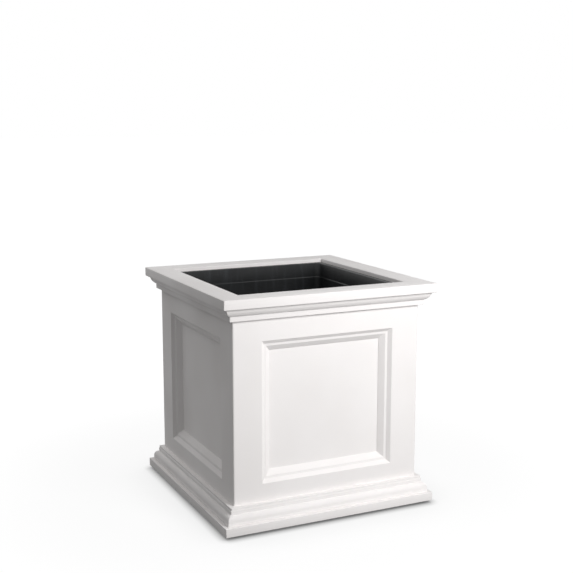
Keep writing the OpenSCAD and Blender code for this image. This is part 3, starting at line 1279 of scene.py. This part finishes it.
@dataclass
class Trim(SubAssembly):
    """The mitred boards and mouldings round the foot and the top (millimetres)."""

    post_edge_r: float = 3.5
    wall_low: float = 24.8
    cap_low: float = 487.3
    cap_top: float = 508.0
    plinth_edge_r: float = 1.0
    plinth_inner_r: float = 0.6
    cap_edge_r: tuple[float, ...] = (0.4, 1.5, 1.5, 2.0)
    base_height: float = 35.5
    base_out: float = 21.5
    base_step: Point = (20.9, 5.3)
    base_swell: Point = (10.7, 12.0)
    base_quirk: float = 0.7
    base_low_band: Point = (11.2, 21.6)
    base_high_band: Point = (10.1, 29.9)
    base_foot_r: tuple[float, ...] = (0.4, 0.35, 0.2)
    base_band_r: tuple[float, ...] = (0.3, 0.6, 0.3)
    crown_height: float = 28.5
    crown_out: float = 22.0
    crown_band: Point = (10.0, 12.3)
    crown_quirk: float = 3.0
    crown_quirk_r: float = 0.3
    crown_upright: float = 0.7
    crown_swell_r: float = 24.0
    swell_steps: int = 12
    band_edge_r: float = 0.8
    plan_corner: float = 1.6
    plan_steps: int = 4

    def build(self) -> list[str]:
        """Builds four runs on each of the four sides."""
        return [self.lay(run, side) for run in self.all_runs() for side in Side]

    def all_runs(self) -> list[Run]:
        """Lists the runs from the floor upwards.

        Returns:
            The runs.
        """
        crisp = self.plan_corner
        hug = self.post_edge_r
        return [
            Run("plinth_board", self.plinth_section(), crisp, crisp, True),
            Run("base_moulding", self.base_section(), hug, crisp, False),
            Run("crown_moulding", self.crown_section(), hug, crisp, False),
            Run("cap_board", self.cap_section(), crisp, crisp, True),
        ]

    def plinth_section(self) -> list[Point]:
        """Draws the plinth board, eased most on its outer edges.

        Returns:
            The section's points in metres.
        """
        return eased(
            [
                Corner(self.plinth_in, self.plinth_low, self.plinth_inner_r),
                Corner(self.half_outer, self.plinth_low, self.plinth_edge_r),
                Corner(self.half_outer, self.wall_low, self.plinth_edge_r),
                Corner(self.plinth_in, self.wall_low, self.plinth_inner_r),
            ]
        )

    def cap_section(self) -> list[Point]:
        """Draws the cap board, eased least where the wall meets it.

        Returns:
            The section's points in metres.
        """
        places = (
            (self.half_inner, self.cap_low),
            (self.half_outer, self.cap_low),
            (self.half_outer, self.cap_top),
            (self.half_inner, self.cap_top),
        )
        return eased([Corner(*at, r) for at, r in zip(places, self.cap_edge_r)])

    def base_section(self) -> list[Point]:
        """Draws the stepped upright foot, the swell, and the flat band in two steps.

        Returns:
            The section's points in metres.
        """
        wall, low = self.half_body, self.wall_low
        step_out, step_height = self.base_step
        swell_low, swell_r = self.base_swell
        low_out, low_start = self.base_low_band
        high_out, high_start = self.base_high_band
        toe_r, heel_r, step_r = self.base_foot_r
        root_r, ledge_r, riser_r = self.base_band_r
        swell = self.swell(
            (step_out, swell_low), (low_out + self.base_quirk, low_start), swell_r
        )
        outline = [
            Corner(0, 0),
            Corner(self.base_out, 0, toe_r),
            Corner(self.base_out, step_height, heel_r),
            Corner(step_out, step_height, step_r),
            *swell,
            Corner(low_out, low_start, root_r),
            Corner(low_out, high_start, ledge_r),
            Corner(high_out, high_start, riser_r),
            Corner(high_out, self.base_height, self.band_edge_r),
            Corner(0, self.base_height),
        ]
        return eased([Corner(wall + c.x, low + c.y, c.r) for c in outline])

    def crown_section(self) -> list[Point]:
        """Draws the flat band below, the quirk, and the flatter swell up to the cap.

        Returns:
            The section's points in metres.
        """
        wall, high = self.half_body, self.cap_low
        low = high - self.crown_height
        band_out, band_height = self.crown_band
        band_high = low + band_height
        swell = self.swell(
            (self.crown_out, high - self.crown_upright),
            (band_out + self.crown_quirk, band_high),
            self.crown_swell_r,
        )
        outline = [
            Corner(0, high),
            Corner(0, low),
            Corner(band_out, low, self.band_edge_r),
            Corner(band_out, band_high, self.crown_quirk_r),
            *reversed(swell),
            Corner(self.crown_out, high),
        ]
        return eased([Corner(wall + c.x, c.y, c.r) for c in outline])

    def swell(self, foot: Point, top: Point, radius: float) -> list[Corner]:
        """Draws the swelling arc of a moulding, with its hollow side to the wall.

        Args:
            foot: Where it stands out furthest.
            top: Where it has drawn in.
            radius: The arc's radius.

        Returns:
            The arc's corners, from the foot to the top.
        """
        first, last = Vector(foot), Vector(top)
        chord = last - first
        inward = Vector((-abs(chord.y), math.copysign(chord.x, chord.x * chord.y)))
        depth = math.sqrt(radius**2 - chord.length_squared / 4)
        centre = (first + last) / 2 + inward.normalized() * depth
        spokes = (first - centre, last - centre)
        start, end = (math.degrees(math.atan2(p.y, p.x)) for p in spokes)
        return arc((centre.x, centre.y), radius, start, end, self.swell_steps)

    def lay(self, run: Run, side: Side) -> str:
        """Builds one run on one side.

        Args:
            run: The run.
            side: The side of the box.

        Returns:
            The piece's name.
        """
        paint = SatinPaint(grain=side.run, pressed=run.pressed)
        distances = [x for x, _ in run.section]
        grown = self.runs.grow(
            section_mesh(run.section),
            run=0.0,
            spread=1.0,
            inner_distance=min(distances),
            outer_distance=max(distances),
            inner_corner=run.inner_corner * MM,
            outer_corner=run.outer_corner * MM,
            steps=self.plan_steps,
            material=paint.material(),
        )
        node = f"{side.label}_{run.node}"
        name = f"{node}_run"
        mesh = finished_mesh(grown, name, turn=side.turn)
        add_piece(name, mesh, paint.material(), self.body, [node])
        return name


@dataclass
class Floor(SubAssembly):
    """The slats and the bearer under them."""

    def build(self) -> list[str]:
        """Dresses the slats, which run from side to side, and the bearer.

        Returns:
            The names of the pieces.
        """
        slats = [name for name in self.nodes if name.startswith("floor_slat")]
        for name in slats:
            dress_node(self.nodes[name], BareBoard(Axis.X).material())
        dress_node(self.nodes["floor_bearer"], BareBoard(Axis.Y).material())
        return [*slats, "floor_bearer"]


@dataclass
class Liner(SubAssembly):
    """The black tub: rolled rim, stacking step, ribs and dished drains (millimetres).

    Each row of foot_rings, rim_root, rim_rings and mouth_rings is one ring of the
    shell: what is added to its half width and to its corner radius, and its height
    above the foot or its depth below the rim. Each row of drain_rings is a radius and
    a depth below the floor.
    """

    body: str = "liner"
    rim_half: float = 199.0
    rim_corner_r: float = 10.0
    rim_thickness: float = 4.0
    wall_half: float = 189.0
    wall_taper: float = 8.0
    wall_corner_r: float = 16.0
    wall: float = 3.0
    floor_thickness: float = 4.0
    top: float = 500.0
    foot_r: float = 3.0
    foot_rings: Sequence[Triple] = ((-3.0, -3.0, 0.0), (-0.9, -0.9, 0.9))
    step_height: float = 34.0
    step_in: float = 1.2
    step_slope: float = 2.0
    rim_root_low: float = 2.0
    rim_root: Sequence[Triple] = ((0.6, 0.0, 0.6), (2.0, -1.0, 0.0))
    rim_rings: Sequence[Triple] = (
        (-3.6, -1.0, 4.0),
        (-2.4, -0.6, 5.2),
        (-2.2, -0.4, 8.5),
        (-1.1, -0.2, 9.0),
        (0.0, 0.0, 8.3),
        (0.0, 0.0, 2.4),
        (-0.7, 0.0, 0.7),
        (-2.4, 0.0, 0.0),
    )
    mouth_rings: Sequence[Triple] = ((2.4, 2.0, 0.0), (0.7, 0.7, 0.7), (0.0, 0.0, 2.4))
    inner_fillet: float = 6.0
    fillet_steps: int = 5
    fillet_corner_share: float = 0.8
    drain_offset: float = 110.0
    drain_rings: Sequence[Point] = (
        (13.0, 0.0),
        (12.2, 0.5),
        (7.2, 1.1),
        (6.0, 1.8),
        (6.0, 3.5),
        (6.5, 4.0),
    )
    drain_segments: int = 32
    corner_steps: int = 10
    rib_crest: float = 0.6
    wall_rib_half: float = 1.5
    wall_rib_sunk: float = 1.2
    wall_rib_proud: float = 3.0
    wall_rib_slope: float = 6.0
    wall_rib_gaps: Point = (9.0, 8.0)
    wall_rib_places: Sequence[float] = (-135.0, -67.5, 0.0, 67.5, 135.0)
    floor_rib_half: float = 1.6
    floor_rib_sunk: float = 1.0
    floor_rib_rise: Point = (0.1, 1.6)
    floor_rib_slope: float = 3.0
    floor_rib_length: float = 168.0
    floor_rib_places: Sequence[float] = (-55.0, 55.0)
    sharp_degrees: float = 28.0

    def build(self) -> list[str]:
        """Builds the tub with its ribs as one piece.

        Returns:
            The piece's name, in a list.
        """
        plastic = MouldedPolypropylene().material()
        form = self.shell()
        for ribs in (self.wall_ribs(plastic), self.floor_ribs(plastic)):
            form.from_mesh(ribs)
            bpy.data.meshes.remove(ribs)
        mesh = finished_mesh(form, "liner_tub", self.sharp_degrees)
        add_piece("liner_tub", mesh, plastic, self.body, ["liner"])
        return ["liner_tub"]

    def half_at(self, height: float) -> float:
        """Half the tub's outer width at a height."""
        share = (self.top - height) / (self.top - self.slat_top)
        return self.wall_half - self.wall_taper * share

    def profile(self) -> list[Triple]:
        """Lists the rings of the shell, from under the tub over the rim to its floor.

        Returns:
            Half width, corner radius and height of each.
        """
        low, top, r = self.slat_top, self.top, self.wall_corner_r
        step, inner_r = top - self.step_height, r - self.wall
        slope_low, under = step - self.step_slope, top - self.rim_thickness
        inside = self.half_at(top) - self.wall
        foot = self.half_at(low)
        rings = [(foot + a, r + b, low + up) for a, b, up in self.foot_rings]
        rings += [
            (self.half_at(low + self.foot_r), r, low + self.foot_r),
            (self.half_at(slope_low) - self.step_in, r, slope_low),
            (self.half_at(step), r, step),
        ]
        root_low, root = under - self.rim_root_low, self.half_at(under)
        rings.append((self.half_at(root_low), r, root_low))
        rings += [(root + a, r + b, under - down) for a, b, down in self.rim_root]
        rim = (self.rim_half, self.rim_corner_r, self.rim_rings)
        for half, corner, rows in (rim, (inside, inner_r, self.mouth_rings)):
            rings += [(half + a, corner + b, top - down) for a, b, down in rows]
        rings += [
            (self.half_at(step) - self.wall, inner_r, step),
            (self.half_at(slope_low) - self.wall - self.step_in, inner_r, slope_low),
        ]
        fillet, floor = self.inner_fillet, low + self.floor_thickness
        bottom = self.half_at(floor + fillet) - self.wall - self.step_in / 2
        for turn in range(self.fillet_steps + 1):
            angle = math.pi / 2 * turn / self.fillet_steps
            inset = fillet * (1 - math.cos(angle))
            corner = inner_r - inset * self.fillet_corner_share
            rings.append((bottom - inset, corner, floor + fillet * (1 - math.sin(angle))))
        return rings

    def ring(self, form: BMesh, half: float, r: float, z: float) -> Ring:
        """Lays one round-cornered square of vertices.

        Args:
            form: The form that gets them.
            half: Half the square's width.
            r: The radius of its corners.
            z: Its height.

        Returns:
            The vertices in order.
        """
        verts = []
        for quarter in range(4):
            for i in range(self.corner_steps + 1):
                angle = math.radians(90 * (quarter + i / self.corner_steps))
                turn = math.radians(90 * quarter + 45)
                middle = Vector((math.cos(turn), math.sin(turn))) * math.sqrt(2)
                at = middle * (half - r) + Vector((math.cos(angle), math.sin(angle))) * r
                verts.append(form.verts.new((at.x * MM, at.y * MM, z * MM)))
        return verts

    def circle(self, form: BMesh, centre: Point, r: float, z: float) -> Ring:
        """Lays one circle of vertices.

        Args:
            form: The form that gets them.
            centre: Its centre.
            r: Its radius.
            z: Its height.

        Returns:
            The vertices in order.
        """
        count = self.drain_segments
        angles = [2 * math.pi * i / count for i in range(count)]
        x, y = centre
        places = [(x + r * math.cos(a), y + r * math.sin(a), z) for a in angles]
        return [form.verts.new([size * MM for size in place]) for place in places]

    def shell(self) -> BMesh:
        """Builds the tub's wall, rim and floor, with its drains open.

        Returns:
            The form.
        """
        form = bmesh.new()
        rings = [self.ring(form, *size) for size in self.profile()]
        bridge(form, rings)
        under, over = [rings[0]], [rings[-1]]
        floor = self.slat_top + self.floor_thickness
        ends = (-self.drain_offset, self.drain_offset)
        for centre in [(0.0, 0.0), *((x, y) for x in ends for y in ends)]:
            circles = [self.circle(form, centre, r, floor - z) for r, z in self.drain_rings]
            bridge(form, circles)
            over.append(circles[0])
            under.append(circles[-1])
        for loops in (under, over):
            fill_between(form, loops)
        return form

    def rib_section(self, half: float, sunk: float, rise: float) -> list[Point]:
        """The four corners across a rib: its place across, and its height."""
        crest = half * self.rib_crest
        return [(-half, -sunk), (half, -sunk), (crest, rise), (-crest, rise)]

    def wall_ribs(self, plastic: Material) -> Mesh:
        """Grows the upright ribs outside the walls.

        Args:
            plastic: Their material.

        Returns:
            The ribs' mesh.
        """
        below, above = self.wall_rib_gaps
        low, high = self.slat_top + below, self.top - self.step_height - above
        foot, head = self.half_at(low), self.half_at(high) - self.step_in
        slope, proud = self.wall_rib_slope, self.wall_rib_proud
        half, sunk = self.wall_rib_half, self.wall_rib_sunk
        template = self.bar(
            [
                Vector((x, -(base + out), z))
                for z, base, rise in (
                    (low, foot, 0.0),
                    (low + slope, foot, proud),
                    (high - slope, head, proud),
                    (high, head, 0.0),
                )
                for x, out in self.rib_section(half, sunk, rise)
            ]
        )
        turns = [(side.turn, (0, 0, math.radians(side.value))) for side in Side]
        seats = [
            Seat(tuple(turn @ Vector((x * MM, 0, 0))), facing)
            for turn, facing in turns
            for x in self.wall_rib_places
        ]
        return self.grow_ribs(template, seats, plastic)

    def floor_ribs(self, plastic: Material) -> Mesh:
        """Grows the low ribs that stiffen the floor.

        Args:
            plastic: Their material.

        Returns:
            The ribs' mesh.
        """
        floor, end = self.slat_top + self.floor_thickness, self.floor_rib_length
        (low, high), crest = self.floor_rib_rise, end - self.floor_rib_slope
        half, sunk = self.floor_rib_half, self.floor_rib_sunk
        template = self.bar(
            [
                Vector((x, y, floor + up))
                for x, rise in ((-end, low), (-crest, high), (crest, high), (end, low))
                for y, up in self.rib_section(half, sunk, rise)
            ]
        )
        turns = [(Matrix.Rotation(a, 4, "Z"), (0, 0, a)) for a in (0.0, math.pi / 2)]
        seats = [
            Seat(tuple(turn @ Vector((0, y * MM, 0))), facing)
            for turn, facing in turns
            for y in self.floor_rib_places
        ]
        return self.grow_ribs(template, seats, plastic)

    @staticmethod
    def bar(corners: Sequence[Vector]) -> Object:
        """Makes a closed bar.

        Args:
            corners: Sets of four corners along it, in millimetres.

        Returns:
            The bar.
        """
        form = bmesh.new()
        verts = [form.verts.new(corner * MM) for corner in corners]
        rings = [verts[i : i + 4] for i in range(0, len(verts), 4)]
        bridge(form, rings)
        form.faces.new(rings[0])
        form.faces.new(rings[-1])
        return bpy.data.objects.new("rib", finished_mesh(form, "rib"))

    def grow_ribs(self, template: Object, seats: Sequence[Seat], plastic: Material) -> Mesh:
        """Sets a rib on each seat.

        Args:
            template: The rib, which is used up.
            seats: Where the ribs go.
            plastic: Their material.

        Returns:
            The ribs' mesh.
        """
        ribs = self.sets.grow(
            seats_mesh(seats), template=template, spin=0.0, seed=1, material=plastic
        )
        bpy.data.objects.remove(template)
        return ribs


@dataclass(frozen=True)
class Screw:
    """A countersunk screw with a cross recess, head up at the origin (millimetres).

    The cross is given in shares of the head's radius.
    """

    shank_r: float
    length: float
    head_ratio: float = 2.0
    head_ease: float = 0.12
    head_edge: float = 0.3
    cross_depth: float = 0.55
    cross_arm: float = 0.58
    cross_half: float = 0.15
    cross_foot: float = 0.45
    segments: int = 24

    def template(self) -> Object:
        """Builds the screw with few faces, because it is repeated.

        Returns:
            The screw.
        """
        head, shank = self.head_ratio * self.shank_r, self.shank_r
        rings = [
            (head - self.head_ease, 0.0),
            (head, -self.head_ease),
            (head, -self.head_edge),
            (shank, -(head - shank) - self.head_edge),
            (shank, -self.length + 2 * shank),
            (0.0, -self.length),
        ]
        form = lathe([(r * MM, z * MM) for r, z in rings], self.segments)
        form.verts.ensure_lookup_table()
        rim = [form.verts[i] for i in range(self.segments)]
        wide = self.cross(form, head, 0.0)
        narrow = self.cross(form, head * self.cross_foot, -self.cross_depth * head)
        bridge(form, [wide, narrow])
        form.faces.new(narrow)
        fill_between(form, [rim, wide])
        return bpy.data.objects.new("screw", finished_mesh(form, "screw"))

    def cross(self, form: BMesh, head: float, z: float) -> Ring:
        """Lays the twelve vertices of the cross.

        Args:
            form: The form that gets them.
            head: The radius of the head that the cross is drawn for.
            z: The height of the cross.

        Returns:
            The vertices in order.
        """
        arm, half = self.cross_arm * head, self.cross_half * head
        quarter = [(half, half), (half, arm), (-half, arm)]
        verts = []
        for i in range(4):
            turn = Matrix.Rotation(math.pi / 2 * i, 2)
            for corner in quarter:
                at = turn @ Vector(corner)
                verts.append(form.verts.new((at.x * MM, at.y * MM, z * MM)))
        return verts


@dataclass(frozen=True)
class Foot:
    """A rubber pad, hollowed under its middle, soft on its lower edge (millimetres)."""

    radius: float = 18.0
    height: float = 6.0
    hollow: Sequence[Corner] = (
        Corner(0.0, 1.6),
        Corner(4.0, 1.6, 0.4),
        Corner(4.6, 0.6, 0.3),
        Corner(9.0, 0.0, 0.4),
    )
    bevel: float = 1.0
    bevel_r: Point = (0.5, 0.6)
    facets: int = 3
    segments: int = 48

    def template(self) -> Object:
        """Turns the foot.

        Returns:
            The foot.
        """
        inner_r, outer_r = self.bevel_r
        corners = [
            *self.hollow,
            Corner(self.radius - self.bevel, 0.0, inner_r),
            Corner(self.radius, self.bevel, outer_r),
            Corner(self.radius, self.height),
            Corner(0.0, self.height),
        ]
        form = lathe(eased(corners, self.facets), self.segments)
        return bpy.data.objects.new("foot", finished_mesh(form, "foot"))


@dataclass
class Fixings(SubAssembly):
    """Screws that show, dowels and splines that don't, and the feet (millimetres)."""

    wall_fixings: Sequence[float] = (-191.0, -79.0, 79.0, 191.0)
    plinth_proud: float = 0.25
    slat_rows: Sequence[float] = (-151.5, -50.5, 50.5, 151.5)
    slat_screw_off: float = 23.25
    slat_screw_x: Sequence[float] = (-190.0, 0.0, 190.0)
    panel_seat: float = 5.0
    seed: int = 7
    plinth_screw: Screw = Screw(shank_r=2.5, length=50.8)
    floor_screw: Screw = Screw(shank_r=2.0, length=30.0)
    panel_screw: Screw = Screw(shank_r=1.5, length=14.0)
    foot: Foot = Foot()

    def build(self) -> list[str]:
        """Dresses the wooden fixings and builds the screws and the feet.

        Returns:
            The names of the pieces.
        """
        names = ["cap_dowels", "mitre_splines"]
        for name in names:
            dress_node(self.nodes[name], Beech().material())
        zinc, rubber = ZincPlate(), MouldedRubber()
        for node, copied, seats, finish, slot in (
            ("plinth_screws", self.plinth_screw, self.plinth_seats(), zinc, "zinc_screw"),
            ("floor_screws", self.floor_screw, self.floor_seats(), zinc, "zinc_screw"),
            ("panel_screws", self.panel_screw, self.panel_seats(), zinc, "zinc_screw"),
            ("feet", self.foot, self.foot_seats(), rubber, "foot_rubber"),
        ):
            template, material = copied.template(), finish.material()
            names.append(self.set_copies(node, template, seats, material, slot))
        return names

    def set_copies(
        self,
        node: str,
        template: Object,
        seats: Sequence[Seat],
        material: Material,
        slot: str,
    ) -> str:
        """Sets copies of a template and adds them as one piece.

        Args:
            node: The node that they replace.
            template: What is copied, which is used up.
            seats: Where the copies go.
            material: Their material.
            slot: The record's material slot; not used.

        Returns:
            The piece's name.
        """
        grown = self.sets.grow(
            seats_mesh(seats),
            template=template,
            spin=2 * math.pi,
            seed=self.seed,
            material=material,
        )
        bpy.data.objects.remove(template)
        name = f"{node}_set"
        mesh = finished_mesh(grown, name)
        add_piece(name, mesh, material, self.body, [node])
        return name

    def plinth_seats(self) -> list[Seat]:
        """Seats the plinth screws: heads down under the plinth, a hair proud of it.

        Returns:
            The seats.
        """
        low = self.plinth_low - self.plinth_proud
        wall_middle = (self.half_body + self.half_inner) / 2
        spots = [Vector((x, -wall_middle, low)) * MM for x in self.wall_fixings]
        facing = (math.pi, 0.0, 0.0)
        return [Seat(tuple(side.turn @ spot), facing) for side in Side for spot in spots]

    def floor_seats(self) -> list[Seat]:
        """Seats the floor screws: heads up, two at each end of a slat and two midway.

        Returns:
            The seats.
        """
        return [
            Seat((x * MM, (y + off) * MM, self.slat_top * MM))
            for y in self.slat_rows
            for x in self.slat_screw_x
            for off in (-self.slat_screw_off, self.slat_screw_off)
        ]

    def panel_seats(self) -> list[Seat]:
        """Seats the panel screws: heads inwards round the back of each panel.

        Returns:
            The seats.
        """
        half_height, ends = self.open_height / 2, (-1, 1)
        middle = self.open_low + half_height
        beside, above = self.half_open + self.panel_seat, half_height + self.panel_seat
        along, up = self.half_open / 2, half_height / 2
        spots = [(a * beside, b * up) for a in ends for b in ends]
        spots += [(b * along, a * above) for a in ends for b in ends]
        inwards = Euler((-math.pi / 2, 0, 0)).to_matrix().to_4x4()
        seats = []
        for side in Side:
            turn = tuple((side.turn @ inwards).to_euler())
            for x, z in spots:
                place = Vector((x, -self.half_inner, middle + z)) * MM
                seats.append(Seat(tuple(side.turn @ place), turn))
        return seats

    def foot_seats(self) -> list[Seat]:
        """Seats the feet under the corners, midway across the plinth's boards."""
        middle = (self.half_outer + self.plinth_in) / 2 * MM
        return [Seat((x, y, 0.0)) for x in (-middle, middle) for y in (-middle, middle)]


# ---- the studio ----


@dataclass(frozen=True)
class Lamp:
    """A square soft box: watts, and metres and degrees from the front of the planter."""

    name: str
    power: float
    size: float
    distance: float
    azimuth: float
    elevation: float


@dataclass
class Studio:
    """A white floor and backdrop, two soft boxes, and the camera (metres, degrees).

    The key hangs before the planter and the fill behind it. The floor is white to the
    eye, and dims a little towards the planter and more where that is near or touches.
    """

    ambient: float = 0.26
    key: Lamp = Lamp(
        "key_soft_box", power=24.8, size=0.6, distance=1.8, azimuth=17.0, elevation=26.0
    )
    fill: Lamp = Lamp(
        "fill_soft_box", power=5.5, size=1.0, distance=1.6, azimuth=-150.0, elevation=42.0
    )
    floor_seen: float = 0.08
    floor_glow: float = 0.92
    floor_bounce: float = 0.2
    contact: Point = (0.02, 0.9)  # reach and depth of the shade where it touches
    nearness: Point = (0.13, 0.3)  # reach and depth of the wider shade round that
    fade: Point = (0.4, 1.1)  # from the middle, where the floor begins and ends to clear
    floor_half: float = 30.0
    aim_height: float = 0.25
    camera_azimuth: float = -25.456
    camera_elevation: float = 9.625
    camera_distance: float = 2.43461
    camera_target: Triple = (0.0058, 0.0, 0.4801)
    lens: float = 65.774
    sensor: float = 36.0

    def build(self) -> None:
        """Builds the studio round the finished object."""
        self.floor()
        self.world()
        self.hang(self.key)
        self.hang(self.fill)
        self.camera()
        bpy.context.scene.view_settings.view_transform = "Standard"

    @staticmethod
    def seen_rays(tree: NodeTree) -> NodeSocket:
        """Tells camera, mirror and glass rays, which see the backdrop, from the rest.

        Args:
            tree: The tree of the floor's material or of the world.

        Returns:
            1 for these rays and 0 for the rest.
        """
        rays = add_node(tree, "ShaderNodeLightPath").outputs
        gloss = add_node(
            tree,
            "ShaderNodeMath",
            {0: rays["Is Glossy Ray"], 1: rays["Is Transmission Ray"]},
            operation="MAXIMUM",
        )
        return add_node(
            tree,
            "ShaderNodeMath",
            {0: rays["Is Camera Ray"], 1: gloss.outputs[0]},
            operation="MAXIMUM",
        ).outputs[0]

    def floor(self) -> None:
        """Lays the floor: white to the eye, and darker to the light it throws back."""
        mesh = bpy.data.meshes.new("studio_floor")
        around = ((-1, -1), (1, -1), (1, 1), (-1, 1))
        corners = [(x * self.floor_half, y * self.floor_half, 0.0) for x, y in around]
        mesh.from_pydata(corners, [], [(0, 1, 2, 3)])
        material, tree = new_material("white_studio_floor")
        place = add_node(tree, "ShaderNodeTexCoord").outputs["Object"]
        distance = add_node(
            tree, "ShaderNodeVectorMath", {0: place}, operation="LENGTH"
        ).outputs["Value"]
        near, far = self.fade
        limits = {"From Min": near, "From Max": far, "To Min": self.floor_glow}
        strength = add_node(
            tree,
            "ShaderNodeMapRange",
            {"Value": distance, **limits, "To Max": 1.0},
            interpolation_type="SMOOTHSTEP",
        ).outputs["Result"]
        for reach, depth in (self.contact, self.nearness):
            open_air = add_node(
                tree, "ShaderNodeAmbientOcclusion", {"Distance": reach}
            ).outputs["AO"]
            shade = add_node(
                tree, "ShaderNodeMapRange", {"Value": open_air, "To Min": 1 - depth}
            ).outputs["Result"]
            strength = add_node(
                tree, "ShaderNodeMath", {0: strength, 1: shade}, operation="MULTIPLY"
            ).outputs["Value"]
        lit, dim = (
            add_node(tree, "ShaderNodeBsdfDiffuse", {"Color": (grey, grey, grey, 1.0)})
            for grey in (self.floor_seen, self.floor_bounce)
        )
        glowing = add_node(tree, "ShaderNodeEmission", {"Strength": strength})
        white = add_node(
            tree, "ShaderNodeAddShader", {0: lit.outputs[0], 1: glowing.outputs[0]}
        )
        shown = add_node(
            tree,
            "ShaderNodeMixShader",
            {0: self.seen_rays(tree), 1: dim.outputs[0], 2: white.outputs[0]},
        )
        add_node(tree, "ShaderNodeOutputMaterial", {"Surface": shown.outputs[0]})
        mesh.materials.append(material)
        floor = bpy.data.objects.new("studio_floor", mesh)
        bpy.context.scene.collection.objects.link(floor)

    def world(self) -> None:
        """Makes the backdrop white to the eye and a soft fill to the object."""
        world = bpy.data.worlds.new("studio")
        bpy.context.scene.world = world
        world.use_nodes = True
        tree = world.node_tree
        tree.nodes.clear()
        strength = add_node(
            tree,
            "ShaderNodeMapRange",
            {"Value": self.seen_rays(tree), "To Min": self.ambient, "To Max": 1.0},
        ).outputs["Result"]
        background = add_node(
            tree,
            "ShaderNodeBackground",
            {"Color": (1.0, 1.0, 1.0, 1.0), "Strength": strength},
        )
        add_node(tree, "ShaderNodeOutputWorld", {"Surface": background.outputs[0]})

    def hang(self, lamp: Lamp) -> None:
        """Hangs a soft box, aimed at the middle of the planter.

        Its own glare is left out, because across a white floor it would blow
        the cap out to white. The gloss still shows the pale room.

        Args:
            lamp: The soft box.
        """
        light = bpy.data.lights.new(lamp.name, "AREA")
        light.shape = "SQUARE"
        light.size = lamp.size
        light.energy = lamp.power
        away = self.direction(lamp.azimuth, lamp.elevation)
        box = bpy.data.objects.new(lamp.name, light)
        box.location = Vector((0, 0, self.aim_height)) + away * lamp.distance
        box.rotation_euler = away.to_track_quat("Z", "Y").to_euler()
        box.visible_glossy = False
        bpy.context.scene.collection.objects.link(box)

    def camera(self) -> None:
        """Sets the camera where the photograph was taken from."""
        data = bpy.data.cameras.new("camera")
        data.lens = self.lens
        data.sensor_width = self.sensor
        away = self.direction(self.camera_azimuth, self.camera_elevation)
        camera = bpy.data.objects.new("camera", data)
        camera.location = Vector(self.camera_target) + away * self.camera_distance
        camera.rotation_euler = away.to_track_quat("Z", "Y").to_euler()
        bpy.context.scene.collection.objects.link(camera)
        bpy.context.scene.camera = camera

    @staticmethod
    def direction(azimuth: float, elevation: float) -> Vector:
        """Gives the direction towards a place.

        Args:
            azimuth: Its turn in degrees from the front.
            elevation: Its height in degrees above the level.

        Returns:
            The direction.
        """
        a, e = math.radians(azimuth), math.radians(elevation)
        level = math.cos(e)
        return Vector((math.sin(a) * level, -math.cos(a) * level, math.sin(e)))


def main() -> None:
    """Builds the sub-assemblies in order."""
    logging.basicConfig(level=logging.INFO, format="%(name)s: %(message)s")
    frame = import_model()
    runs, sets = MitredRun(), SetOnPoints()
    for kind in (Walls, Trim, Floor, Liner, Fixings):
        part = kind(frame["nodes"], runs, sets)
        for name in part.build():
            LOG.info("%s: %s", kind.__name__.lower(), name)
    Studio().build()


if __name__ == "__main__":
    main()
